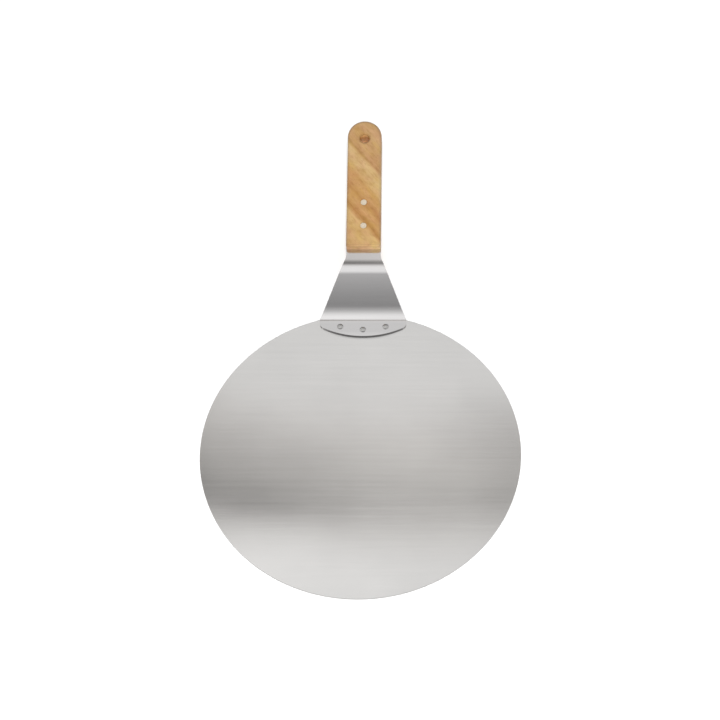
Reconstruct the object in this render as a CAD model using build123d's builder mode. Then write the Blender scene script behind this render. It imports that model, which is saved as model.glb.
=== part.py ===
from build123d import *
import os
from math import atan2, cos, radians, sin, sqrt, tan

# Pizza peel: a round sheet blade, a bent neck plate riveted to it, and a
# slotted wooden handle pinned to the neck plate's tang.
# Millimetres. +Z up, +Y from the blade towards the handle.
# Origin: centre of the blade's underside.

os.makedirs("parts", exist_ok=True)

# ---------------------------------------------------------------- dimensions
# blade
blade_d = 255.0
blade_t = 0.8
blade_edge_r = 0.25

# neck plate, one bent sheet
plate_t = 1.5
bend_y = 118.8            # where the flat tab ends and the lower bend starts
first_slant = 22.5        # slope after the lower bend, degrees
lower_bend_r = 9.5        # to the middle of the sheet
ease_len = 7.8            # from the lower bend's vertex to the sweep's vertex
ease_r = 78.0             # the long sweep from the first slope to the trapezoid's
slant = 30.0              # slope of the trapezoid, degrees
shank_len = 38.4          # from the sweep's vertex to the upper bend's vertex
upper_bend_r = 48.0
tab_front_y = 105.5       # lowest point of the tab's curved front
tab_front_r = 73.0
tab_half_w = 36.2
tab_corner_r = 6.0
tab_root_y = 121.3         # where the tab's sides turn into the taper
tab_root_r = 2.0
tang_half_w = 14.4
tang_fillet_r = 9.0
tang_corner_r = 2.5

# handle
grip_tilt = 14.0          # slope of the tang and the handle, degrees
grip_t = 19.5
grip_front = 14.7         # from the upper bend vertex to the wood
grip_cap_y = 115.4        # from the upper bend vertex to the end radius' centre
grip_front_half_w = 14.45
grip_cap_r = 14.5
grip_edge_r = 3.2
grip_front_edge_r = 1.0
hang_hole_y = 113.2       # from the upper bend vertex
hang_hole_r = 4.0
hang_hole_rim_r = 1.7

# rivets
grip_rivet_r = 2.6
grip_rivet_y = (32.6, 53.7)   # from the upper bend vertex
grip_rivet_dome = 0.35
tang_past_rivet = 12.0
blade_rivet_shank_r = 1.6
blade_rivet_head_r = 2.6
blade_rivet_head_h = 1.05
blade_rivet_tail_r = 2.2
blade_rivets = {
    "blade_rivet_left": (-18.9, 114.7),
    "blade_rivet_centre": (0.0, 111.8),
    "blade_rivet_right": (18.9, 114.7),
}

# ---------------------------------------------------------------- derived
blade_r = blade_d / 2
tab_z = blade_t                       # underside of the tab
mid_z = tab_z + plate_t / 2           # middle of the sheet at the tab
s1, s, g = radians(first_slant), radians(slant), radians(grip_tilt)
# vertices (y, z) of the sheet's middle line, seen from the side
low_v = (bend_y + lower_bend_r * tan(s1 / 2), mid_z)
ease_v = (low_v[0] + ease_len * cos(s1), low_v[1] + ease_len * sin(s1))
up_v = (ease_v[0] + shank_len * cos(s), ease_v[1] + shank_len * sin(s))
tang_end = grip_rivet_y[1] + tang_past_rivet

# the grip's own plane: origin at the upper bend vertex, x across, y along the
# tang, z out of its top face
grip_plane = Plane(origin=(0, up_v[0], up_v[1]), x_dir=(1, 0, 0), z_dir=(0, -sin(g), cos(g)))


def along_grip(d):
    """Side-view point (y, z) at a distance d along the tang from the upper bend vertex."""
    return (up_v[0] + d * cos(g), up_v[1] + d * sin(g))


def underside(v, a, b):
    """The corner of the sheet's underside below a vertex where slope a turns into slope b."""
    m, w = (a + b) / 2, plate_t / 2 / cos((b - a) / 2)
    return (v[0] + w * sin(m), v[1] - w * cos(m))


# ---------------------------------------------------------------- blade
with BuildPart() as blade:
    with BuildSketch(Plane.XY):
        Circle(blade_r)
    extrude(amount=blade_t)
    rim = blade.edges().filter_by(GeomType.CIRCLE)
    fillet(rim, blade_edge_r)
    # rivet holes, countersunk from below so the tails finish flush
    under = Plane(origin=(0, 0, 0), x_dir=(1, 0, 0), z_dir=(0, 0, -1))
    with Locations(*[under.location * Location((x, -y, 0)) for x, y in blade_rivets.values()]):
        CounterSinkHole(
            radius=blade_rivet_shank_r,
            counter_sink_radius=blade_rivet_tail_r,
            depth=blade_t,
            counter_sink_angle=90,
        )
blade.part.label = "blade"
export_step(blade.part, "parts/blade.step")

# ---------------------------------------------------------------- neck plate
# the sheet seen from the side, as wide as the tab
tab_side_y = tab_front_y + tab_front_r - sqrt(tab_front_r**2 - tab_half_w**2)
taper_y = up_v[0] + 7.6               # where the taper reaches the tang's width
with BuildPart() as neck_plate:
    with BuildSketch(Plane.YZ) as neck_side:
        with BuildLine():
            FilletPolyline(
                (tab_front_y - 5, mid_z - plate_t / 2),
                underside(low_v, 0, s1),
                underside(ease_v, s1, s),
                underside(up_v, s, g),
                (
                    along_grip(tang_end)[0] + plate_t / 2 * sin(g),
                    along_grip(tang_end)[1] - plate_t / 2 * cos(g),
                ),
                radius=[
                    lower_bend_r + plate_t / 2,
                    ease_r + plate_t / 2,
                    upper_bend_r - plate_t / 2,
                ],
            )
            offset(amount=plate_t, side=Side.LEFT)
        make_face()
    extrude(amount=tab_half_w + 2, both=True)
    # its outline seen from above
    with BuildSketch(Plane.XY) as neck_outline:
        with BuildLine():
            tip_y = along_grip(tang_end)[0] + 5
            front = ThreePointArc(
                (-tab_half_w, tab_side_y), (0, tab_front_y), (tab_half_w, tab_side_y)
            )
            Polyline(
                (tab_half_w, tab_side_y),
                (tab_half_w, tab_root_y),
                (tang_half_w, taper_y),
                (tang_half_w, tip_y),
                (-tang_half_w, tip_y),
                (-tang_half_w, taper_y),
                (-tab_half_w, tab_root_y),
                (-tab_half_w, tab_side_y),
            )
        make_face()
        corners = neck_outline.vertices().group_by(Axis.Y)
        fillet(corners[0], tab_corner_r)
        roots = neck_outline.vertices().filter_by(lambda v: abs(v.Y - tab_root_y) < 0.01)
        fillet(roots, tab_root_r)
        kinks = neck_outline.vertices().filter_by(lambda v: abs(v.Y - taper_y) < 0.01)
        fillet(kinks, tang_fillet_r)
    extrude(amount=120, mode=Mode.INTERSECT)
    # rounded corners at the tang's hidden end
    fillet(
        neck_plate.edges().filter_by(lambda e: abs(e.length - plate_t) < 0.05).group_by(Axis.Y)[-1],
        tang_corner_r,
    )
    # rivet holes in the tab and the tang
    with Locations(*[(x, y, tab_z + plate_t) for x, y in blade_rivets.values()]):
        Hole(radius=blade_rivet_shank_r, depth=plate_t)
    with Locations(*[grip_plane.location * Location((0, d, plate_t)) for d in grip_rivet_y]):
        Hole(radius=grip_rivet_r, depth=2 * plate_t)
neck_plate.part.label = "neck_plate"
export_step(neck_plate.part, "parts/neck_plate.step")

# ---------------------------------------------------------------- handle
with BuildPart() as handle:
    with BuildSketch(grip_plane.offset(-grip_t / 2)):
        with BuildLine():
            cap = ThreePointArc(
                (grip_cap_r, grip_cap_y), (0, grip_cap_y + grip_cap_r), (-grip_cap_r, grip_cap_y)
            )
            Polyline(
                (-grip_cap_r, grip_cap_y),
                (-grip_front_half_w, grip_front),
                (grip_front_half_w, grip_front),
                (grip_cap_r, grip_cap_y),
            )
        make_face()
    extrude(amount=grip_t)
    # rounded long edges and end, top and bottom
    flats = handle.faces().filter_by(grip_plane).sort_by(Axis.Z)
    front_face = handle.faces().sort_by(Axis.Y)[0]
    rounded = (flats[0].edges() + flats[-1].edges()).filter_by(
        lambda e: e not in front_face.edges()
    )
    fillet(rounded, grip_edge_r)
    # eased front edges
    fillet(handle.faces().sort_by(Axis.Y)[0].edges(), grip_front_edge_r)
    # hanging hole with a rounded rim on both faces
    with Locations(grip_plane.location * Location((0, hang_hole_y, grip_t / 2))):
        Hole(radius=hang_hole_r, depth=grip_t)
    rims = handle.edges().filter_by(GeomType.CIRCLE).filter_by(
        lambda e: abs(e.radius - hang_hole_r) < 0.01
    )
    fillet(rims, hang_hole_rim_r)
    # saw slot that takes the tang
    with Locations(grip_plane.location * Location((0, (grip_front + tang_end) / 2, 0))):
        Box(
            2 * grip_front_half_w + 4,
            tang_end - grip_front + 0.4,
            plate_t,
            mode=Mode.SUBTRACT,
        )
    with Locations(grip_plane.location * Location((0, grip_front, 0))):
        Box(2 * grip_front_half_w + 4, 4, plate_t, mode=Mode.SUBTRACT)
    # rivet holes
    with Locations(*[grip_plane.location * Location((0, d, grip_t / 2)) for d in grip_rivet_y]):
        Hole(radius=grip_rivet_r, depth=grip_t)
handle.part.label = "handle"
export_step(handle.part, "parts/handle.step")


# ---------------------------------------------------------------- rivet profiles
def on_dome(r, base, top):
    """A point halfway round a spherical dome's arc, from (r, base) up to (0, top)."""
    h = top - base
    rho = (r**2 + h**2) / (2 * abs(h))
    up = 1 if h > 0 else -1
    half_angle = atan2(r, rho - abs(h)) / 2
    return (rho * sin(half_angle), top - up * rho * (1 - cos(half_angle)))


# half section of a handle pin: x outwards, y out of the handle's top face
half = grip_t / 2
pin_tip = half + grip_rivet_dome
pin_edge = half - 0.05
with BuildLine() as pin_section:
    Line((0, -pin_tip), (0, pin_tip))
    ThreePointArc((0, pin_tip), on_dome(grip_rivet_r, pin_edge, pin_tip), (grip_rivet_r, pin_edge))
    Line((grip_rivet_r, pin_edge), (grip_rivet_r, -pin_edge))
    ThreePointArc(
        (grip_rivet_r, -pin_edge), on_dome(grip_rivet_r, -pin_edge, -pin_tip), (0, -pin_tip)
    )

# half section of a blade rivet: domed head on the tab, shank through tab and
# blade, countersunk tail flush with the blade's underside
tab_top = tab_z + plate_t
tail_h = blade_rivet_tail_r - blade_rivet_shank_r
head_base = tab_top + 0.15
head_top = tab_top + blade_rivet_head_h
with BuildLine() as rivet_section:
    Polyline(
        (0, head_top),
        (0, 0),
        (blade_rivet_tail_r, 0),
        (blade_rivet_shank_r, tail_h),
        (blade_rivet_shank_r, tab_top),
        (blade_rivet_head_r, tab_top),
        (blade_rivet_head_r, head_base),
    )
    ThreePointArc(
        (blade_rivet_head_r, head_base),
        on_dome(blade_rivet_head_r, head_base, head_top),
        (0, head_top),
    )


# ---------------------------------------------------------------- handle rivets
def pin_plane(d):
    """The pin's section plane at d along the tang: x across, y out of the top face."""
    o = grip_plane.location * Location((0, d, 0))
    return Plane(origin=o.position, x_dir=(1, 0, 0), z_dir=(0, -cos(g), -sin(g)))


with BuildPart() as handle_rivet_front:
    with BuildSketch(pin_plane(grip_rivet_y[0])):
        make_face(pin_section.edges())
    revolve(axis=Axis(pin_plane(grip_rivet_y[0]).origin, grip_plane.z_dir))
handle_rivet_front.part.label = "handle_rivet_front"
export_step(handle_rivet_front.part, "parts/handle_rivet_front.step")

with BuildPart() as handle_rivet_rear:
    with BuildSketch(pin_plane(grip_rivet_y[1])):
        make_face(pin_section.edges())
    revolve(axis=Axis(pin_plane(grip_rivet_y[1]).origin, grip_plane.z_dir))
handle_rivet_rear.part.label = "handle_rivet_rear"
export_step(handle_rivet_rear.part, "parts/handle_rivet_rear.step")


# ---------------------------------------------------------------- blade rivets
def rivet_plane(name):
    """The rivet's section plane: x across, y up from the blade's underside."""
    x, y = blade_rivets[name]
    return Plane(origin=(x, y, 0), x_dir=(1, 0, 0), z_dir=(0, -1, 0))


with BuildPart() as blade_rivet_left:
    with BuildSketch(rivet_plane("blade_rivet_left")):
        make_face(rivet_section.edges())
    revolve(axis=Axis(rivet_plane("blade_rivet_left").origin, (0, 0, 1)))
blade_rivet_left.part.label = "blade_rivet_left"
export_step(blade_rivet_left.part, "parts/blade_rivet_left.step")

with BuildPart() as blade_rivet_centre:
    with BuildSketch(rivet_plane("blade_rivet_centre")):
        make_face(rivet_section.edges())
    revolve(axis=Axis(rivet_plane("blade_rivet_centre").origin, (0, 0, 1)))
blade_rivet_centre.part.label = "blade_rivet_centre"
export_step(blade_rivet_centre.part, "parts/blade_rivet_centre.step")

with BuildPart() as blade_rivet_right:
    with BuildSketch(rivet_plane("blade_rivet_right")):
        make_face(rivet_section.edges())
    revolve(axis=Axis(rivet_plane("blade_rivet_right").origin, (0, 0, 1)))
blade_rivet_right.part.label = "blade_rivet_right"
export_step(blade_rivet_right.part, "parts/blade_rivet_right.step")

# ---------------------------------------------------------------- summary
hole = grip_plane.location * Location((0, hang_hole_y, 0))
print("upper bend vertex", [round(v, 3) for v in up_v])
print("overall length", round(handle.part.bounding_box().max.Y + blade_r, 2))
print("hang hole centre", [round(v, 4) for v in hole.position])
print("hang hole wall length", grip_t - 2 * hang_hole_rim_r)
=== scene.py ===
import math
import random

import bmesh
import bpy
import numpy as np
from mathutils import Matrix, Vector


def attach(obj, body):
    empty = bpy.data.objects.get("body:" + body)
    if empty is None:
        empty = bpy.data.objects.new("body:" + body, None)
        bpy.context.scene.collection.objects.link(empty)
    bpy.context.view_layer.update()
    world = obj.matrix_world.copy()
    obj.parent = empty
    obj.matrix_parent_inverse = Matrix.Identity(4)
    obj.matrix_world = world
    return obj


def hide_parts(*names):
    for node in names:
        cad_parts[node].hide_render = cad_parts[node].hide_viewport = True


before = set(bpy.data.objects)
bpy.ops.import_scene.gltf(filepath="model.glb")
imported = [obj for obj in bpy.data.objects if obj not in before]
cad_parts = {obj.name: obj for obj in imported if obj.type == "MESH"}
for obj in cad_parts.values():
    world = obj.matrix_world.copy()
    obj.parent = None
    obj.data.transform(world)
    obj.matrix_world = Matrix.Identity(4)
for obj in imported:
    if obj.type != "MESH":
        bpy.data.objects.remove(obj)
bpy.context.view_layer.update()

scene = bpy.context.scene
MM = 0.001
rng = random.Random(7)
BASE_STOPS = [
    (-0.60, 0.50), (-0.30, 0.45), (-0.12, 0.20), (-0.075, 0.185), (-0.055, 0.20), (-0.042, 0.265), (-0.018, 0.350), (0.000, 0.50),
    (0.015, 0.65), (0.035, 0.68), (0.085, 0.67), (0.100, 0.62), (0.115, 0.57), (0.128, 0.52), (0.136, 0.38), (0.143, 0.19),
    (0.151, 0.19), (0.159, 0.38), (0.170, 0.47), (0.190, 0.475), (0.205, 0.495), (0.235, 0.54), (0.265, 0.575), (0.290, 0.582),
    (0.41, 0.585), (0.47, 0.40), (0.55, 0.24), (0.62, 0.20), (0.80, 0.20), (1.00, 0.42),
]
GAP_STOPS = [
    (0.085, 0.0), (0.103, 0.1), (0.117, 0.3), (0.130, 0.6), (0.143, 0.9), (0.155, 1.05), (0.176, 0.98), (0.196, 0.72),
    (0.217, 0.6), (0.238, 0.38), (0.264, 0.12), (0.290, 0.0),
]
DEPTH_STOPS = [
    (-0.45, 0.00), (-0.25, 0.09), (-0.17, 0.16), (-0.14, 0.185), (-0.11, 0.17), (-0.08, 0.13), (-0.04, 0.08), (0.0, 0.030),
    (0.03, 0.0), (0.08, 0.008), (0.11, 0.035), (0.15, 0.065), (0.30, 0.08), (0.45, 0.0),
]
WOOD_K = 0.745          # wood colour against the light level of the scene

# ------------------------------------------------------------------ sizes, mm
BLADE_R, BLADE_T = 127.5, 0.8
PLATE_T = 1.5
BEND_Y, SLANT1, SLANT, TILT = 118.8, math.radians(22.5), math.radians(30), math.radians(14)
LOW_R, EASE, EASE_R, SHANK, UP_R = 9.5, 7.8, 78.0, 38.4, 48.0
TAB_Y, TAB_R, TAB_HW, ROOT_Y = 105.5, 73.0, 36.2, 121.3
TANG_HW, TAPER = 14.4, 7.6
GRIP_T, GRIP_Y0, GRIP_YC = 19.5, 14.7, 115.4
GRIP_HW, CAP_R, EDGE_R = 14.45, 14.5, 3.2
HOLE_R, RIM_R, HOLE_Y = 4.0, 1.7, 113.2
PINS = (32.6, 53.7)
TANG_END = PINS[1] + 12.0
BLADE_RIVETS = {
    "blade_rivet_left": (-18.9, 114.7),
    "blade_rivet_centre": (0.0, 111.8),
    "blade_rivet_right": (18.9, 114.7),
}
MID_Z = BLADE_T + PLATE_T / 2
LOW_V = (BEND_Y + LOW_R * math.tan(SLANT1 / 2), MID_Z)
EASE_V = (LOW_V[0] + EASE * math.cos(SLANT1), LOW_V[1] + EASE * math.sin(SLANT1))
UP_V = (EASE_V[0] + SHANK * math.cos(SLANT), EASE_V[1] + SHANK * math.sin(SLANT))
GRIP_M = Matrix.Translation(Vector((0, UP_V[0], UP_V[1])) * MM) @ Matrix.Rotation(TILT, 4, "X")


# ------------------------------------------------------------------ mesh helpers
def make_object(name, verts, faces, matrix=None, smooth=True, sharp=40):
    """A mesh object from vertices in mm and faces, placed in the row frame."""
    me = bpy.data.meshes.new(name)
    me.from_pydata([tuple(c * MM for c in v) for v in verts], [], faces)
    bm = bmesh.new()
    bm.from_mesh(me)
    bmesh.ops.remove_doubles(bm, verts=bm.verts, dist=1e-7)
    bmesh.ops.dissolve_degenerate(bm, edges=bm.edges, dist=1e-8)
    bmesh.ops.recalc_face_normals(bm, faces=bm.faces)
    bm.to_mesh(me)
    bm.free()
    if matrix is not None:
        me.transform(matrix)
    if smooth:
        me.shade_smooth()
        me.set_sharp_from_angle(angle=math.radians(sharp))
    o = bpy.data.objects.new(name, me)
    scene.collection.objects.link(o)
    return o


def weighted(o):
    m = o.modifiers.new("weighted", "WEIGHTED_NORMAL")
    m.keep_sharp = True
    m.weight = 80
    return o


def add_uv(o, swap=False):
    """A flat UV map in metres. With swap, U runs along Y, so the tangent does too."""
    me = o.data
    uv = me.uv_layers.new(name="grain")
    co = np.zeros(len(me.vertices) * 3)
    me.vertices.foreach_get("co", co)
    co = co.reshape(-1, 3)
    idx = np.zeros(len(me.loops), np.int32)
    me.loops.foreach_get("vertex_index", idx)
    p = co[idx]
    u, v = (p[:, 1], p[:, 0]) if swap else (p[:, 0], p[:, 1])
    uv.data.foreach_set("uv", np.stack([u, v], 1).ravel() * 4.0 + 0.5)


def fillet_path(points, radii, step=0.25):
    """A polyline through 2D points whose corners are rounded by the given radii."""
    out = [points[0]]
    for i in range(1, len(points) - 1):
        p0, p1, p2 = (np.array(points[j], float) for j in (i - 1, i, i + 1))
        r = radii[i]
        a, b = p0 - p1, p2 - p1
        a, b = a / np.linalg.norm(a), b / np.linalg.norm(b)
        ang = math.acos(max(-1, min(1, float(a @ b))))
        if r <= 0 or abs(ang - math.pi) < 1e-4:
            out.append(tuple(p1))
            continue
        cut = r / math.tan(ang / 2)
        bis = (a + b) / np.linalg.norm(a + b)
        c = p1 + bis * r / math.sin(ang / 2)
        s, e = p1 + a * cut - c, p1 + b * cut - c
        turn = math.atan2(s[0] * e[1] - s[1] * e[0], float(s @ e))
        n = max(4, int(abs(turn) * r / step))
        for k in range(n + 1):
            t = turn * k / n
            out.append((c[0] + s[0] * math.cos(t) - s[1] * math.sin(t), c[1] + s[0] * math.sin(t) + s[1] * math.cos(t)))
    out.append(points[-1])
    return out


def fill_loops(bm, loops):
    """Fills the flat region inside the first loop and outside the others."""
    edges = []
    for loop in loops:
        for i in range(len(loop)):
            a, b = loop[i], loop[(i + 1) % len(loop)]
            e = bm.edges.get((a, b)) or bm.edges.new((a, b))
            edges.append(e)
    bmesh.ops.triangle_fill(bm, use_beauty=True, use_dissolve=False, edges=edges)


# ------------------------------------------------------------------ blade
def wave(x, y):
    """The slight waviness of rolled sheet, in mm, fading out at the rim and the tab."""
    r = math.hypot(x, y) / BLADE_R
    keep = max(0.0, 1 - r**6) * (1 - 1 / (1 + math.exp(-(y - 88) / 6)))
    return 0.10 * keep * (
        math.sin(x * 0.031 + 0.6) * math.cos(y * 0.043 - 0.4) + 0.5 * math.sin(y * 0.071 + x * 0.022 + 1.1)
    )


def build_blade():
    seg = 288
    radii = [0.0] + [BLADE_R * (i / 56) for i in range(1, 55)] + [126.4, 127.0]
    r_e = 0.28
    rim = [(BLADE_R - r_e * (1 - math.sin(a)), BLADE_T - r_e * (1 - math.cos(a))) for a in np.linspace(0, math.pi / 2, 5)]
    rim += [(BLADE_R - r_e * (1 - math.cos(a)), r_e * (1 - math.sin(a))) for a in np.linspace(0, math.pi / 2, 5)]
    verts, faces, rings = [], [], []
    for r in radii:
        if r == 0:
            verts.append((0, 0, BLADE_T + wave(0, 0)))
            rings.append([0])
            continue
        ring = []
        for k in range(seg):
            a = 2 * math.pi * k / seg
            x, y = r * math.cos(a), r * math.sin(a)
            ring.append(len(verts))
            verts.append((x, y, BLADE_T + wave(x, y)))
        rings.append(ring)
    for r, z in rim:
        ring = []
        for k in range(seg):
            a = 2 * math.pi * k / seg
            ring.append(len(verts))
            verts.append((r * math.cos(a), r * math.sin(a), z))
        rings.append(ring)
    for r in reversed(radii):
        if r == 0:
            verts.append((0, 0, 0))
            rings.append([len(verts) - 1])
            continue
        ring = []
        for k in range(seg):
            a = 2 * math.pi * k / seg
            ring.append(len(verts))
            verts.append((r * math.cos(a), r * math.sin(a), 0))
        rings.append(ring)
    for a, b in zip(rings, rings[1:]):
        for k in range(seg):
            k2 = (k + 1) % seg
            if len(a) == 1:
                faces.append((a[0], b[k], b[k2]))
            elif len(b) == 1:
                faces.append((a[k2], a[k], b[0]))
            else:
                faces.append((a[k], b[k], b[k2], a[k2]))
    o = make_object("blade_sheet", verts, faces, sharp=60)
    add_uv(o, swap=True)
    return o


# ------------------------------------------------------------------ neck plate
def side_profile():
    """Tables of (developed length, y, z, slope) along the middle of the sheet."""
    t_low = LOW_R * math.tan(SLANT1 / 2)
    t_ease = EASE_R * math.tan((SLANT - SLANT1) / 2)
    turn = SLANT - TILT
    t_up = UP_R * math.tan(turn / 2)
    flat = BEND_Y - TAB_Y
    runs = [
        ("line", flat),
        ("arc", LOW_R, SLANT1),
        ("line", EASE - t_low - t_ease),
        ("arc", EASE_R, SLANT - SLANT1),
        ("line", SHANK - t_ease - t_up),
        ("arc", UP_R, -turn),
        ("line", TANG_END - t_up),
    ]
    out = []
    y, z, a, s = TAB_Y, MID_Z, 0.0, 0.0
    out.append((s, y, z, a))
    for run in runs:
        if run[0] == "line":
            n = max(2, int(run[1] / 1.5))
            for _ in range(n):
                d = run[1] / n
                y += d * math.cos(a); z += d * math.sin(a); s += d
                out.append((s, y, z, a))
        else:
            r, turn_ = run[1], run[2]
            n = 28
            for _ in range(n):
                da = turn_ / n
                d = abs(da) * r
                y += d * math.cos(a + da / 2); z += d * math.sin(a + da / 2); s += d; a += da
                out.append((s, y, z, a))
    return out


def build_neck():
    prof = side_profile()
    py = np.array([p[1] for p in prof]); pz = np.array([p[2] for p in prof]); pa = np.array([p[3] for p in prof])
    side_y = TAB_Y + TAB_R - math.sqrt(TAB_R**2 - TAB_HW**2)
    taper_y = UP_V[0] + TAPER
    end_y = py[-1]
    arc = []
    for k in range(0, 61):
        x = 0.5 + (TAB_HW - 0.5) * k / 60
        arc.append((x, TAB_Y + TAB_R - math.sqrt(TAB_R**2 - x**2)))
    # right half of the outline seen from above, tip to tang end
    pts = [arc[0], (TAB_HW, side_y), (TAB_HW, ROOT_Y), (TANG_HW, taper_y), (TANG_HW, end_y), (10.0, end_y + 1e-3)]
    corner = fillet_path([arc[-6], (TAB_HW, side_y), (TAB_HW, ROOT_Y), (TANG_HW, taper_y), (TANG_HW, end_y), (8.0, end_y)], [0, 6.0, 2.0, 9.0, 2.5, 0], 0.2)
    half = [p for p in arc if p[1] < corner[1][1] - 0.02] + corner[1:]
    hy = np.array([p[1] for p in half]); hx = np.array([p[0] for p in half])
    keep = np.concatenate([[True], np.diff(hy) > 1e-5])
    hy, hx = hy[keep], hx[keep]
    rows = sorted(set([round(v, 4) for v in hy] + [round(v, 4) for v in py if hy[0] < v < hy[-1]] + [round(v, 4) for v in np.arange(TAB_Y + 1, end_y, 1.2)]))
    rows = [r for i, r in enumerate(rows) if i == 0 or r - rows[i - 1] > 0.012]
    cols = np.linspace(-1, 1, 41)
    verts, top, bot = [], [], []
    for y in rows:
        hw = float(np.interp(y, hy, hx)); z = float(np.interp(y, py, pz)); a = float(np.interp(y, py, pa))
        t, b = [], []
        for u in cols:
            x = u * hw
            t.append(len(verts)); verts.append((x, y - math.sin(a) * PLATE_T / 2, z + math.cos(a) * PLATE_T / 2))
            b.append(len(verts)); verts.append((x, y + math.sin(a) * PLATE_T / 2, z - math.cos(a) * PLATE_T / 2))
        top.append(t); bot.append(b)
    faces = []
    n = len(cols)
    for i in range(len(rows) - 1):
        for j in range(n - 1):
            faces.append((top[i][j], top[i][j + 1], top[i + 1][j + 1], top[i + 1][j]))
            faces.append((bot[i][j + 1], bot[i][j], bot[i + 1][j], bot[i + 1][j + 1]))
        faces.append((top[i][0], top[i + 1][0], bot[i + 1][0], bot[i][0]))
        faces.append((top[i + 1][-1], top[i][-1], bot[i][-1], bot[i + 1][-1]))
    for j in range(n - 1):
        faces.append((top[0][j + 1], top[0][j], bot[0][j], bot[0][j + 1]))
        faces.append((top[-1][j], top[-1][j + 1], bot[-1][j + 1], bot[-1][j]))
    o = make_object("neck_sheet", verts, faces, sharp=50)
    add_uv(o, swap=True)
    m = o.modifiers.new("edge", "BEVEL")
    m.width = 0.28 * MM
    m.segments = 3
    m.limit_method = "ANGLE"
    m.angle_limit = math.radians(55)
    m.harden_normals = True
    weighted(o)
    return o


# ------------------------------------------------------------------ handle
def build_handle():
    half = GRIP_T / 2
    slot = PLATE_T / 2 + 0.03
    slot_end = TANG_END + 0.15
    ease = 1.0
    # profile across the long edge: (inset from the outline, height, normal out, normal up)
    arc = np.linspace(0, math.pi / 2, 13)
    up = [(EDGE_R * (1 - math.sin(a)), half - EDGE_R * (1 - math.cos(a)), math.sin(a), math.cos(a)) for a in arc]
    wall = [(0, z, 1, 0) for z in (4.4, 2.8, 1.5)]
    prof = up + wall + [(0, slot, 1, 0), (0, -slot, 1, 0)] + [(d, -z, o, -u) for d, z, o, u in reversed(up + wall)]
    kslot = len(up) + len(wall)
    # stations along the outline, from the right front corner round the end to the left front corner
    def hw(y):
        return GRIP_HW + (CAP_R - GRIP_HW) * (y - GRIP_Y0) / (GRIP_YC - GRIP_Y0)
    ys = sorted(set([GRIP_Y0 + ease] + list(np.linspace(GRIP_Y0 + 2, slot_end, 20)) + list(np.linspace(slot_end + 2.5, GRIP_YC, 20))))
    stations = [((hw(y), y), (1.0, 0.0)) for y in ys]
    for a in np.linspace(0, math.pi, 73)[1:-1]:
        stations.append(((CAP_R * math.cos(a), GRIP_YC + CAP_R * math.sin(a)), (math.cos(a), math.sin(a))))
    stations += [((-hw(y), y), (-1.0, 0.0)) for y in reversed(ys)]
    bm = bmesh.new()
    grid = []
    for (x, y), (nx, ny) in stations:
        grid.append([bm.verts.new((x - nx * d, y - ny * d, z)) for d, z, _, _ in prof])
    n, k = len(stations), len(prof)
    for i in range(n - 1):
        for j in range(k - 1):
            in_slot = j == kslot and max(stations[i][0][1], stations[i + 1][0][1]) <= slot_end + 1e-6
            if not in_slot:
                bm.faces.new((grid[i][j], grid[i][j + 1], grid[i + 1][j + 1], grid[i + 1][j]))
    # eased front perimeter, one loop for each cheek
    def cheek(sign):
        js = range(0, kslot + 1) if sign > 0 else range(k - 1, kslot, -1)
        right = [(grid[0][j], prof[j], 1) for j in js]
        left = [(grid[-1][j], prof[j], -1) for j in js]
        loop = list(reversed(left)) + right
        return loop
    fronts = []
    for sign in (1, -1):
        loop = cheek(sign)
        prev = [v for v, _, _ in loop]
        lips = []
        for a in np.linspace(0, math.pi / 2, 5)[1:]:
            ring = []
            inset, y = ease * (1 - math.cos(a)), GRIP_Y0 + ease * (1 - math.sin(a))
            for v, (d, z, o, u), side in loop:
                last = abs(z) <= slot + 1e-9
                nz = u
                ring.append(bm.verts.new((v.co.x - side * o * inset, y, v.co.z - (0 if last else nz * inset))))
            for i in range(len(ring) - 1):
                bm.faces.new((prev[i], prev[i + 1], ring[i + 1], ring[i]))
            prev = ring
            lips.append((ring[0], ring[-1]))
        fronts.append(lips)
        bm.faces.new(prev)
    # flat faces, the hanging hole and the pin holes
    def ring_of(cx, cy, r, z, seg):
        return [bm.verts.new((cx + r * math.cos(2 * math.pi * q / seg), cy + r * math.sin(2 * math.pi * q / seg), z)) for q in range(seg)]
    def bridge(a, b):
        for q in range(len(a)):
            q2 = (q + 1) % len(a)
            bm.faces.new((a[q], a[q2], b[q2], b[q]))
    holes = {1: [], -1: []}
    bore = {}
    for sign in (1, -1):
        outer = ring_of(0, HOLE_Y, HOLE_R + RIM_R, sign * half, 64)
        prev = outer
        for a in np.linspace(0, math.pi / 2, 9)[1:]:
            cur = ring_of(0, HOLE_Y, HOLE_R + RIM_R * (1 - math.sin(a)), sign * (half - RIM_R * (1 - math.cos(a))), 64)
            bridge(prev, cur)
            prev = cur
        bore[sign] = prev
        holes[sign].append(outer)
        for py in PINS:
            outer = ring_of(0, py, 2.74, sign * half, 48)
            cur = ring_of(0, py, 2.66, sign * (half - 0.10), 48)
            low = ring_of(0, py, 2.64, sign * (half - 2.0), 48)
            bridge(outer, cur)
            bridge(cur, low)
            bm.faces.new(low)
            holes[sign].append(outer)
    mids = [ring_of(0, HOLE_Y, HOLE_R, z, 64) for z in (3.6, 0, -3.6)]
    chain = [bore[1]] + mids + [bore[-1]]
    for a, b in zip(chain, chain[1:]):
        bridge(a, b)
    for sign, j in ((1, 0), (-1, k - 1)):
        fill_loops(bm, [[grid[i][j] for i in range(n)]] + holes[sign])
    # slot walls, hidden by the tang
    idx = [i for i in range(n) if stations[i][0][1] <= slot_end + 1e-6]
    right = [i for i in idx if i < n // 2]
    left = [i for i in idx if i > n // 2]
    for sign, j in ((1, kslot), (-1, kslot + 1)):
        loop_l = [grid[i][j] for i in left]
        loop_r = [grid[i][j] for i in right]
        lips = fronts[0 if sign > 0 else 1]
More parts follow.
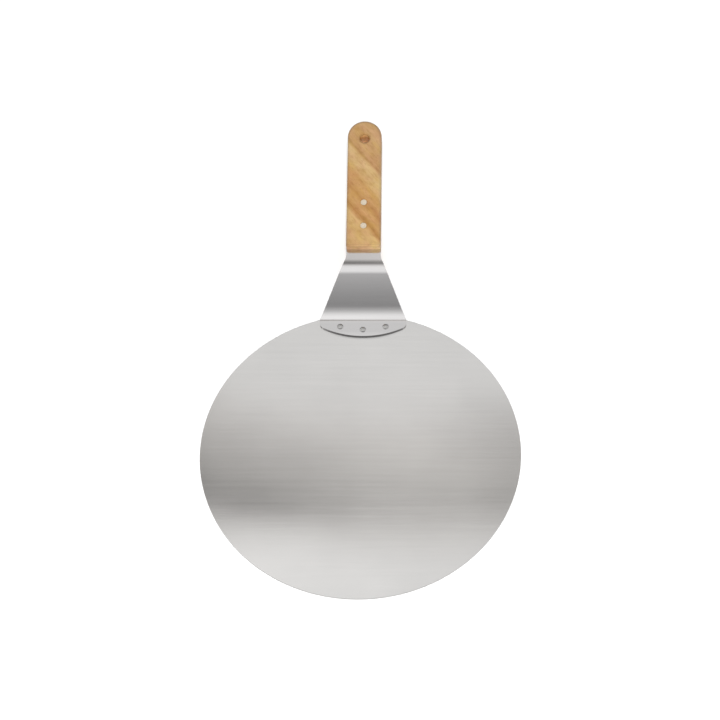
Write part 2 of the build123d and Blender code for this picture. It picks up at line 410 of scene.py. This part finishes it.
        # along the left side, round the front edge's slot corners, back along the right side
        bm.faces.new(loop_l + [a for a, _ in lips] + [b for _, b in reversed(lips)] + loop_r)
    bm.faces.new((grid[right[-1]][kslot], grid[right[-1]][kslot + 1], grid[left[0]][kslot + 1], grid[left[0]][kslot]))
    bmesh.ops.recalc_face_normals(bm, faces=bm.faces)
    me = bpy.data.meshes.new("wood_grip")
    bm.to_mesh(me)
    open_edges = sum(1 for e in bm.edges if len(e.link_faces) != 2)
    print("handle open edges", open_edges)
    bm.free()
    me.transform(GRIP_M @ Matrix.Scale(MM, 4))
    me.shade_smooth()
    me.set_sharp_from_angle(angle=math.radians(38))
    o = bpy.data.objects.new("wood_grip", me)
    scene.collection.objects.link(o)
    weighted(o)
    return o


# ------------------------------------------------------------------ turned pieces
def turned(name, profile, matrix, seg=64, sharp=45):
    """A closed solid of revolution about local z, from (radius, height) pairs in mm, axis to axis."""
    verts, faces, rings = [], [], []
    for r, z in profile:
        if r < 1e-6:
            rings.append([len(verts)])
            verts.append((0, 0, z))
        else:
            ring = []
            for q in range(seg):
                a = 2 * math.pi * q / seg
                ring.append(len(verts))
                verts.append((r * math.cos(a), r * math.sin(a), z))
            rings.append(ring)
    for a, b in zip(rings, rings[1:]):
        for q in range(seg):
            q2 = (q + 1) % seg
            if len(a) == 1:
                faces.append((a[0], b[q2], b[q]))
            elif len(b) == 1:
                faces.append((a[q], a[q2], b[0]))
            else:
                faces.append((a[q], a[q2], b[q2], b[q]))
    return make_object(name, verts, faces, matrix, sharp=sharp)


def dome(r, base, top, n=12):
    """Points of a spherical dome from the axis at top out to (r, base)."""
    h = top - base
    rho = (r * r + h * h) / (2 * abs(h))
    end = math.asin(min(1, r / rho))
    s = 1 if h > 0 else -1
    return [(rho * math.sin(end * q / n), top - s * rho * (1 - math.cos(end * q / n))) for q in range(n + 1)]


def build_blade_rivet(node):
    x, y = BLADE_RIVETS[node]
    tab_top = BLADE_T + PLATE_T
    prof = dome(2.6, tab_top + 0.18, tab_top + 1.05, 14)
    prof += [(2.6, tab_top + 0.06), (2.5, tab_top - 0.02), (1.6, tab_top - 0.02), (1.6, 0.6), (2.17, 0.03), (2.18, -0.02), (2.10, -0.035), (1.4, -0.05), (0, -0.055)]
    m = Matrix.Translation(Vector((x, y, 0)) * MM)
    return turned(node + "_turned", prof, m)


def build_pin(node, d):
    h = GRIP_T / 2
    top = dome(2.52, h - 0.02, h + 0.33, 12) + [(2.59, h - 0.10), (2.6, h - 0.3)]
    prof = top + [(r, -z) for r, z in reversed(top)]
    m = GRIP_M @ Matrix.Translation(Vector((0, d, 0)) * MM)
    return turned(node + "_turned", prof, m)


# ------------------------------------------------------------------ material helpers
class Nodes:
    def __init__(self, name):
        self.mat = bpy.data.materials.new(name)
        self.mat.use_nodes = True
        self.t = self.mat.node_tree
        self.t.nodes.clear()
        self.out = self.add("ShaderNodeOutputMaterial")

    def add(self, kind, **props):
        n = self.t.nodes.new(kind)
        for a, v in props.items():
            setattr(n, a, v)
        return n

    def link(self, a, b):
        self.t.links.new(a, b)

    def put(self, socket, value):
        if isinstance(value, bpy.types.NodeSocket):
            self.link(value, socket)
        else:
            socket.default_value = value

    def coords(self, kind="Object"):
        return self.add("ShaderNodeTexCoord").outputs[kind]

    def mapping(self, vec, scale=(1, 1, 1), rot=(0, 0, 0), loc=(0, 0, 0)):
        n = self.add("ShaderNodeMapping")
        self.link(vec, n.inputs["Vector"])
        n.inputs["Scale"].default_value = scale
        n.inputs["Rotation"].default_value = rot
        n.inputs["Location"].default_value = loc
        return n.outputs["Vector"]

    def noise(self, vec, scale, detail=4, rough=0.5, distortion=0.0, lac=2.0):
        n = self.add("ShaderNodeTexNoise")
        self.link(vec, n.inputs["Vector"])
        n.inputs["Scale"].default_value = scale
        n.inputs["Detail"].default_value = detail
        n.inputs["Roughness"].default_value = rough
        n.inputs["Distortion"].default_value = distortion
        n.inputs["Lacunarity"].default_value = lac
        return n.outputs["Fac"]

    def math(self, op, a, b=0.0, c=0.0, clamp=False):
        n = self.add("ShaderNodeMath", operation=op, use_clamp=clamp)
        self.put(n.inputs[0], a)
        self.put(n.inputs[1], b)
        self.put(n.inputs[2], c)
        return n.outputs[0]

    def ramp(self, fac, stops, interp="LINEAR"):
        n = self.add("ShaderNodeValToRGB")
        n.color_ramp.interpolation = interp
        while len(n.color_ramp.elements) < len(stops):
            n.color_ramp.elements.new(0.5)
        for e, (p, c) in zip(n.color_ramp.elements, stops):
            e.position = p
            e.color = (*c, 1) if not isinstance(c, (int, float)) else (c, c, c, 1)
        self.put(n.inputs["Fac"], fac)
        return n.outputs["Color"]

    def mapr(self, v, a, b, c, d, smooth=False):
        n = self.add("ShaderNodeMapRange")
        n.interpolation_type = "SMOOTHSTEP" if smooth else "LINEAR"
        n.clamp = True
        self.put(n.inputs["Value"], v)
        for s, x in zip(("From Min", "From Max", "To Min", "To Max"), (a, b, c, d)):
            n.inputs[s].default_value = x
        return n.outputs["Result"]

    def mix(self, fac, a, b, blend="MIX"):
        n = self.add("ShaderNodeMix", data_type="RGBA", blend_type=blend)
        self.put(n.inputs["Factor"], fac)
        self.put(n.inputs[6], a if isinstance(a, bpy.types.NodeSocket) else (*a, 1))
        self.put(n.inputs[7], b if isinstance(b, bpy.types.NodeSocket) else (*b, 1))
        return n.outputs[2]

    def xyz(self, vec):
        n = self.add("ShaderNodeSeparateXYZ")
        self.link(vec, n.inputs[0])
        return n.outputs

    def bump(self, height, strength, distance, normal=None):
        n = self.add("ShaderNodeBump")
        n.inputs["Strength"].default_value = strength
        n.inputs["Distance"].default_value = distance
        self.link(height, n.inputs["Height"])
        if normal is not None:
            self.link(normal, n.inputs["Normal"])
        return n.outputs["Normal"]

    def principled(self, color, rough, metallic, normal=None, **constants):
        n = self.add("ShaderNodeBsdfPrincipled")
        self.put(n.inputs["Base Color"], color if isinstance(color, bpy.types.NodeSocket) else (*color, 1))
        self.put(n.inputs["Roughness"], rough)
        n.inputs["Metallic"].default_value = metallic
        if normal is not None:
            self.link(normal, n.inputs["Normal"])
        for k, v in constants.items():
            n.inputs[k.replace("_", " ")].default_value = v
        self.link(n.outputs[0], self.out.inputs["Surface"])
        return n


def tab_edge_painted_shade(m, p):
    """Painted shade: the blade's top face darkened in a soft band against the edge of the tab, where the contact shadow
    falls.
    """
    c = m.xyz(p)
    r = m.math("SQRT", m.math("ADD", m.math("MULTIPLY", c[0], c[0]), m.math("POWER", m.math("SUBTRACT", c[1], (TAB_Y + TAB_R) * MM), 2.0)))
    line = m.mapr(r, (TAB_R + 0.3) * MM, (TAB_R + 3.2) * MM, 1.0, 0.0, True)
    span = m.mapr(m.math("ABSOLUTE", c[0]), 0.010, 0.0365, 1.0, 0.0, True)
    top = m.mapr(c[2], 0.00045, 0.0007, 0.0, 1.0)
    return m.math("SUBTRACT", 1.0, m.math("MULTIPLY", m.math("MULTIPLY", line, m.math("MULTIPLY", span, top)), 0.38))


def neck_painted_light(m, p):
    """Painted light on the neck: painted shade over the flat tab and along the upper bend line, painted highlights
    along the tab's front edge and just above the lower bend.
    """
    y = m.xyz(p)[1]
    # painted shade over the flat tab, painted highlight along its front edge
    tab = m.math("MULTIPLY", m.mapr(y, 0.1192, 0.1228, 0.86, 1.0), m.mapr(y, 0.1065, 0.1110, 1.09, 1.0, True))
    # painted shade along the upper bend line
    crease = m.mapr(m.math("ABSOLUTE", m.math("SUBTRACT", y, 0.1637)), 0.0007, 0.0031, 0.66, 1.0, True)
    # painted highlight just above the lower bend
    painted_bend_highlight = m.mapr(m.math("ABSOLUTE", m.math("SUBTRACT", y, 0.1250)), 0.0035, 0.0090, 1.06, 1.0, True)
    return m.math("MULTIPLY", m.math("MULTIPLY", tab, crease), painted_bend_highlight)


def brushed(name, base, rough, rough_var, tone, aniso, fine=1.0, mottle=0.5, shade=None):
    """Stainless steel brushed along X: streaks of several widths in tone, gloss and relief."""
    m = Nodes(name)
    p = m.coords()
    wide = m.noise(m.mapping(p, (7, 260, 120)), 1.0, 5, 0.6)
    mid = m.noise(m.mapping(p, (16, 1100, 500), loc=(3.1, 1.7, 0)), 1.0, 4, 0.6)
    thin = m.noise(m.mapping(p, (30, 5200, 2600), loc=(9.3, 4.1, 0)), 1.0, 3, 0.65)
    cloud = m.noise(p, 16, 3, 0.5)
    streak = m.math("ADD", m.math("MULTIPLY", wide, 0.35), m.math("ADD", m.math("MULTIPLY", mid, 0.35), m.math("MULTIPLY", thin, 0.30)))
    lo, hi = 1 - tone, 1 + tone * 0.6
    col = m.ramp(streak, [(0.30, tuple(c * lo for c in base)), (0.70, tuple(min(1, c * hi) for c in base))])
    soft = m.mapr(cloud, 0.3, 0.7, 1 - 0.04 * mottle, 1 + 0.02 * mottle)
    # the shade callback multiplies painted shade and painted highlights into the colour
    if shade:
        soft = m.math("MULTIPLY", soft, shade(m, p))
    n = m.add("ShaderNodeVectorMath", operation="SCALE")
    m.link(col, n.inputs[0])
    m.link(soft, n.inputs["Scale"])
    rr = m.mapr(m.math("ADD", m.math("MULTIPLY", streak, 0.8), m.math("MULTIPLY", cloud, 0.2)), 0.3, 0.7, rough - rough_var, rough + rough_var)
    b = m.bump(thin, 0.10 * fine, 0.00003)
    b = m.bump(mid, 0.07 * fine, 0.00008, b)
    sh = m.principled(n.outputs[0], rr, 1.0, b, Anisotropic=aniso)
    tan = m.add("ShaderNodeTangent", direction_type="UV_MAP", uv_map="grain")
    m.link(tan.outputs[0], sh.inputs["Tangent"])
    return m.mat


def rivet_metal(name, base, rough):
    m = Nodes(name)
    p = m.coords()
    f = m.noise(p, 1500, 4, 0.6)
    g = m.noise(m.mapping(p, (1, 1, 1), loc=(1.3, 0.2, 0.7)), 420, 3, 0.55)
    col = m.ramp(m.math("ADD", m.math("MULTIPLY", f, 0.5), m.math("MULTIPLY", g, 0.5)), [(0.32, tuple(c * 0.90 for c in base)), (0.68, tuple(min(1, c * 1.04) for c in base))])
    rr = m.mapr(g, 0.3, 0.7, rough - 0.05, rough + 0.06)
    b = m.bump(f, 0.12, 0.00004)
    b = m.bump(g, 0.18, 0.00012, b)
    m.principled(col, rr, 1.0, b)
    return m.mat


def srgb(r, g, b, k=1.0):
    """A display colour, 0 to 255, as linear light times k."""
    out = []
    for c in (r, g, b):
        c /= 255
        out.append(k * (c / 12.92 if c <= 0.04045 else ((c + 0.055) / 1.055) ** 2.4))
    return tuple(out)


def wood(name):
    """Honey hardwood sawn across its growth layers, with fibre streaks, pores and end grain."""
    m = Nodes(name)
    p = m.coords()
    # into the handle's own axes: x across, y along, z through, metres
    inv = m.add("ShaderNodeVectorRotate", rotation_type="X_AXIS", invert=True)
    inv.inputs["Angle"].default_value = TILT
    inv.inputs["Center"].default_value = (0, UP_V[0] * MM, UP_V[1] * MM)
    m.link(p, inv.inputs["Vector"])
    q = m.mapping(inv.outputs[0], loc=(0, -UP_V[0] * MM, -UP_V[1] * MM))
    h = m.xyz(q)
    # growth layers lie across the top face at 39 degrees to the handle
    ang = math.radians(39.5)
    g = m.mapping(q, rot=(0, 0, -ang))          # x across the layers, y along the grain
    s = m.xyz(g)
    bend = m.noise(m.mapping(g, (34, 13, 34)), 1.0, 2, 0.5)
    ripple = m.noise(m.mapping(g, (170, 60, 170), loc=(4, 2, 7)), 1.0, 3, 0.6)
    w = m.math("ADD", m.math("SUBTRACT", s[0], 0.0047), m.math("MULTIPLY", h[2], 0.35))
    w = m.math("ADD", w, m.math("MULTIPLY", m.math("SUBTRACT", bend, 0.5), 0.0075))
    w = m.math("ADD", w, m.math("MULTIPLY", m.math("SUBTRACT", ripple, 0.5), 0.0030))
    fac = m.mapr(w, 0.0, 0.092, 0.0, 1.0)
    K = WOOD_K
    def tone(c):
        return tuple(v * f for v, f in zip(srgb(*c, K), (1.01, 1.0, 0.94)))
    tones = [
        (-2, (196, 156, 108)), (6, (207, 168, 117)), (14, (211, 175, 120)), (18.2, (212, 175, 119)), (20.6, (200, 156, 99)),
        (22.6, (179, 132, 73)), (24.4, (193, 147, 89)), (27, (205, 161, 105)), (30.2, (202, 157, 102)), (33.6, (186, 138, 82)),
        (35.4, (192, 146, 91)), (38.5, (204, 159, 105)), (42.6, (196, 152, 95)), (46.4, (208, 171, 115)), (51, (212, 179, 127)),
        (56.8, (214, 180, 129)), (58.6, (200, 161, 110)), (59.9, (183, 143, 92)), (61.5, (198, 157, 108)), (65, (201, 160, 112)),
        (72, (195, 155, 107)), (78.5, (205, 167, 120)), (86, (190, 152, 107)), (92, (196, 158, 112)),
    ]
    col = m.ramp(fac, [(max(0.0, v / 92), tone(c)) for v, c in tones])
    # mottling: soft flecks across the figure
    fleck = m.noise(m.mapping(g, (430, 190, 430), loc=(1, 8, 3)), 1.0, 3, 0.62)
    soft = m.noise(m.mapping(g, (120, 70, 120), loc=(6, 1, 2)), 1.0, 3, 0.55)
    col = m.mix(m.mapr(fleck, 0.48, 0.68, 0.0, 0.70), col, m.mix(1.0, col, (0.80, 0.74, 0.66), "MULTIPLY"))
    col = m.mix(m.mapr(soft, 0.48, 0.68, 0.0, 0.75), col, m.mix(1.0, col, (0.88, 0.82, 0.76), "MULTIPLY"))
    col = m.mix(m.mapr(soft, 0.32, 0.48, 0.75, 0.0), col, m.mix(1.0, col, (1.07, 1.09, 1.12), "MULTIPLY"))
    # fine growth lines and fibre along the grain
    lines = m.noise(m.mapping(g, (1250, 46, 1250)), 1.0, 4, 0.6)
    fibre = m.noise(m.mapping(g, (3600, 170, 3600), loc=(2, 5, 1)), 1.0, 3, 0.6)
    col = m.mix(m.mapr(lines, 0.42, 0.72, 0.0, 0.38), col, m.mix(1.0, col, (0.82, 0.75, 0.64), "MULTIPLY"))
    col = m.mix(m.mapr(fibre, 0.46, 0.70, 0.0, 0.30), col, m.mix(1.0, col, (1.10, 1.09, 1.08), "MULTIPLY"))
    # pores: short dark dashes along the grain
    v = m.add("ShaderNodeTexVoronoi", feature="F1")
    m.link(m.mapping(g, (1500, 250, 1500)), v.inputs["Vector"])
    v.inputs["Scale"].default_value = 1.0
    pore = m.mapr(v.outputs["Distance"], 0.10, 0.30, 1.0, 0.0, True)
    gate = m.mapr(m.noise(m.mapping(g, (260, 60, 260)), 1.0, 2, 0.5), 0.47, 0.60, 0.0, 1.0)
    pore = m.math("MULTIPLY", pore, gate)
    col = m.mix(m.math("MULTIPLY", pore, 0.42), col, srgb(122, 84, 44, K))
    # painted shade: the rounded long edges and round the end are tinted greyer, as their shaded sides look
    side = m.math("ABSOLUTE", h[0])
    over = m.math("MAXIMUM", m.math("SUBTRACT", h[1], GRIP_YC * MM), 0.0)
    rad = m.math("SQRT", m.math("ADD", m.math("MULTIPLY", side, side), m.math("MULTIPLY", over, over)))
    wob = m.math("MULTIPLY", m.math("SUBTRACT", soft, 0.5), 0.0016)
    rim = m.mapr(m.math("ADD", rad, wob), 0.0112, 0.0150, 0.0, 1.0, True)
    col = m.mix(m.math("MULTIPLY", rim, 0.60), col, m.mix(1.0, col, (0.90, 1.00, 1.30), "MULTIPLY"))
    bore = m.math("SQRT", m.math("ADD", m.math("MULTIPLY", side, side), m.math("POWER", m.math("SUBTRACT", h[1], HOLE_Y * MM), 2.0)))
    inner = m.mapr(bore, (HOLE_R + 0.1) * MM, (HOLE_R + RIM_R + 0.4) * MM, 1.0, 0.0, True)
    deep = m.mapr(m.math("ABSOLUTE", h[2]), 0.0030, 0.0062, 1.0, 0.0)
    hue = m.noise(m.mapping(g, (150, 70, 110), loc=(2.3, 5.9, 1.1)), 1.0, 2, 0.5)
    col = m.mix(m.mapr(hue, 0.50, 0.66, 0.0, 0.8, True), col, m.mix(1.0, col, (1.01, 1.03, 0.86), "MULTIPLY"))
    col = m.mix(m.mapr(hue, 0.34, 0.50, 0.8, 0.0, True), col, m.mix(1.0, col, (1.02, 0.96, 1.06), "MULTIPLY"))
    # painted shade on the hanging hole's rounded rim
    wall = m.mapr(bore, (HOLE_R + 0.15) * MM, (HOLE_R + 0.6) * MM, 1.0, 0.0, True)
    col = m.mix(m.math("MULTIPLY", inner, m.math("SUBTRACT", 1.0, wall)), col, m.mix(1.0, col, (0.82, 0.80, 0.78), "MULTIPLY"))
    # painted light on the bore's wall, brightest just below its mouth, against the shade inside the hole
    mouth = m.mapr(m.math("ABSOLUTE", h[2]), 0.0062, 0.0080, 0.0, 1.0)
    col = m.mix(m.math("MULTIPLY", wall, mouth), col, m.mix(1.0, col, (1.05, 1.02, 0.98), "MULTIPLY"))
    col = m.mix(m.math("MULTIPLY", wall, m.math("SUBTRACT", m.math("SUBTRACT", 1.0, deep), mouth)), col, m.mix(1.0, col, (1.90, 1.97, 2.25), "MULTIPLY"))
    col = m.mix(m.math("MULTIPLY", wall, deep), col, m.mix(1.0, col, (1.55, 1.45, 1.32), "MULTIPLY"))
    # painted shade: a narrow band on the eased rounding just behind the front edge, darkened against the fill light on
    # it
    eased = m.math("MULTIPLY", m.mapr(h[1], (GRIP_Y0 + 0.22) * MM, (GRIP_Y0 + 0.4) * MM, 0.0, 1.0), m.mapr(h[1], (GRIP_Y0 + 0.7) * MM, (GRIP_Y0 + 1.6) * MM, 1.0, 0.0))
    col = m.mix(eased, col, m.mix(1.0, col, (0.84, 0.84, 0.86), "MULTIPLY"))
    # painted light: the front end face brightened, more across its middle by the tang, where it faces down away from
    # the key light
    front = m.mapr(h[1], (GRIP_Y0 + 0.03) * MM, (GRIP_Y0 + 0.22) * MM, 1.0, 0.0, True)
    col = m.mix(front, col, m.mix(1.0, col, (1.22, 1.24, 1.34), "MULTIPLY"))
    foot = m.math("MULTIPLY", front, m.mapr(m.math("ABSOLUTE", h[2]), 0.0025, 0.0070, 1.0, 0.0, True))
    col = m.mix(foot, col, m.mix(1.0, col, (1.17, 1.20, 1.28), "MULTIPLY"))
    rough = m.mapr(m.math("ADD", m.math("MULTIPLY", lines, 0.6), m.math("MULTIPLY", fibre, 0.4)), 0.3, 0.7, 0.50, 0.64)
    b = m.bump(fibre, 0.22, 0.00008)
    b = m.bump(lines, 0.26, 0.00012, b)
    b = m.bump(fleck, 0.18, 0.00015, b)
    inverse = m.math("SUBTRACT", 1.0, pore)
    b = m.bump(inverse, 0.40, 0.00010, b)
    m.principled(col, rough, 0.0, b, **{"Specular_IOR_Level": 0.34})
    return m.mat


# ------------------------------------------------------------------ build
blade = build_blade()
neck = build_neck()
grip = build_handle()
rivets = {n: build_blade_rivet(n) for n in BLADE_RIVETS}
pins = {
    "handle_rivet_front": build_pin("handle_rivet_front", PINS[0]),
    "handle_rivet_rear": build_pin("handle_rivet_rear", PINS[1]),
}

# the blade's colour carries painted contact shade along the tab's edge
blade_mat = brushed("blade_brushed_steel", (0.694, 0.685, 0.674), 0.17, 0.02, 0.05, 0.20, 1.0, 1.0, tab_edge_painted_shade)
# the neck's colour carries painted shade and painted highlights along its tab and bends
neck_mat = brushed("neck_satin_steel", (0.706, 0.694, 0.693), 0.12, 0.015, 0.04, 0.20, 0.5, 0.6, neck_painted_light)
wood_mat = wood("handle_wood")
pin_mat = rivet_metal("handle_rivet_metal", (1.0, 0.865, 0.69), 0.50)
rivet_mat = rivet_metal("blade_rivet_steel", (0.58, 0.575, 0.565), 0.24)

for obj, node, slot, mat in [
    (blade, "blade", "blade_steel", blade_mat),
    (neck, "neck_plate", "neck_steel", neck_mat),
    (grip, "handle", "handle_wood", wood_mat),
]:
    obj.data.materials.append(mat)
    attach(obj, "root")
    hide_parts(node)
for node, obj in pins.items():
    obj.data.materials.append(pin_mat)
    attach(obj, "root")
    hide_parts(node)
for node, obj in rivets.items():
    obj.data.materials.append(rivet_mat)
    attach(obj, "root")
    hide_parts(node)

# ------------------------------------------------------------------ stage
def plane(name, size, z, mat):
    me = bpy.data.meshes.new(name)
    sx, sy = size[0] / 2, size[1] / 2
    me.from_pydata([(-sx, -sy, 0), (sx, -sy, 0), (sx, sy, 0), (-sx, sy, 0)], [], [(0, 1, 2, 3)])
    me.materials.append(mat)
    o = bpy.data.objects.new(name, me)
    o.location = (0, 0, z)
    scene.collection.objects.link(o)
    return o


fl = Nodes("floor_white")
fl_shader = fl.principled((0.93, 0.93, 0.93), 0.9, 0.0, None, Specular_IOR_Level=0.1)
fl_shader.inputs["Emission Color"].default_value = (1, 1, 1, 1)
fl_shader.inputs["Emission Strength"].default_value = 0.09
floor = plane("floor", (12, 12), -0.0004, fl.mat)

# a light panel overhead that only reflections see. Along Y it is dark over the neck's shank, bright,
# dark again in a gap between two soft boxes, then evenly lit; the gap is deeper towards -X.
PANEL_H = 0.40
STEEL = 0.62
pn = Nodes("panel_light")
pc = pn.xyz(pn.coords("Object"))
px, py_ = pc[0], pc[1]
wide = pn.math("MAXIMUM", pn.math("SUBTRACT", pn.math("MULTIPLY", pn.math("ADD", px, 0.015), -1.0), 0.095), 0.0)
shift = pn.math("MULTIPLY", pn.math("MULTIPLY", wide, wide), 6.0)
shift = pn.math("MINIMUM", shift, 0.06)
shift = pn.math("MULTIPLY", shift, pn.mapr(py_, 0.145, 0.22, 0.0, 1.0))
c2 = pn.math("SUBTRACT", py_, shift)
LO, HI = -0.6, 1.0
def along(stops, k=1.0):
    f = pn.mapr(c2, LO, HI, 0.0, 1.0)
    return pn.ramp(f, [((c - LO) / (HI - LO), v * k) for c, v in stops])
base = along(BASE_STOPS, 0.8)
gap = along(GAP_STOPS)
depth = pn.ramp(pn.mapr(px, -0.5, 0.5, 0.0, 1.0), [(c + 0.5, v) for c, v in DEPTH_STOPS])
near = pn.math("MULTIPLY", pn.mapr(py_, 0.10, 0.15, 1.0, 0.0, True), pn.math("MAXIMUM", pn.math("MINIMUM", px, 0.2), -0.2))
total = pn.math("MULTIPLY", base, 1 / 0.8)
total = pn.math("SUBTRACT", total, pn.math("MULTIPLY", gap, depth))
total = pn.math("SUBTRACT", total, pn.math("MULTIPLY", near, pn.mapr(py_, 0.0, 0.04, 0.0, 0.45, True)))
band = pn.math("MULTIPLY", pn.mapr(py_, 0.175, 0.205, 0.0, 1.0, True), pn.mapr(py_, 0.240, 0.300, 1.0, 0.0, True))
total = pn.math("SUBTRACT", total, pn.math("MULTIPLY", band, pn.mapr(px, 0.03, 0.15, 0.0, 0.135, True)))
total = pn.math("MULTIPLY", total, 1 / STEEL)
em = pn.add("ShaderNodeEmission")
pn.put(em.inputs["Strength"], total)
pn.put(em.inputs["Color"], pn.ramp(gap, [(0.0, (1.0, 1.0, 1.0)), (0.35, (1.025, 1.0, 0.985)), (1.0, (1.02, 1.0, 0.97))]))
pn.link(em.outputs[0], pn.out.inputs["Surface"])
panel = plane("panel", (5, 5), PANEL_H, pn.mat)
panel.visible_camera = False
panel.visible_diffuse = False
panel.visible_shadow = False
panel.visible_transmission = False
panel.visible_volume_scatter = False

world = bpy.data.worlds.new("studio")
world.use_nodes = True
world.node_tree.nodes["Background"].inputs[0].default_value = (1, 1, 1, 1)
world.node_tree.nodes["Background"].inputs[1].default_value = 0.40
scene.world = world


def area(name, loc, target, size, power, glossy=False):
    d = bpy.data.lights.new(name, "AREA")
    d.shape = "RECTANGLE"
    d.size, d.size_y = size
    d.energy = power
    o = bpy.data.objects.new(name, d)
    o.location = loc
    o.rotation_euler = (Vector(target) - Vector(loc)).to_track_quat("-Z", "Y").to_euler()
    o.visible_glossy = glossy
    scene.collection.objects.link(o)
    return o


area("key", (0.152, -2.00, 3.41), (0, 0.1, 0), (0.35, 0.35), 125)
area("front fill", (0.2, -3.6, 1.45), (0, 0.15, 0.03), (0.8, 0.5), 58)

# ------------------------------------------------------------------ camera
AZ, EL, ROLL, DIST, TX, TY, F = 4.164, 58.388, -3.417, 1234.6, -1.80, 83.50, 1500.0
a, e, r = (math.radians(v) for v in (AZ, EL, ROLL))
back = Vector((math.sin(a) * math.cos(e), -math.cos(a) * math.cos(e), math.sin(e)))
right = Vector((math.cos(a), math.sin(a), 0))
up = back.cross(right)
r2 = right * math.cos(r) + up * math.sin(r)
u2 = -right * math.sin(r) + up * math.cos(r)
cam_data = bpy.data.cameras.new("camera")
cam_data.sensor_width = 36
cam_data.lens = F / 720 * 36
cam_data.clip_end = 50
cam = bpy.data.objects.new("camera", cam_data)
loc = (Vector((TX, TY, 0)) + back * DIST) * MM
cam.matrix_world = Matrix(((r2.x, u2.x, back.x, loc.x), (r2.y, u2.y, back.y, loc.y), (r2.z, u2.z, back.z, loc.z), (0, 0, 0, 1)))
scene.collection.objects.link(cam)
scene.camera = cam
scene.view_settings.view_transform = "Standard"
scene.view_settings.look = "None"
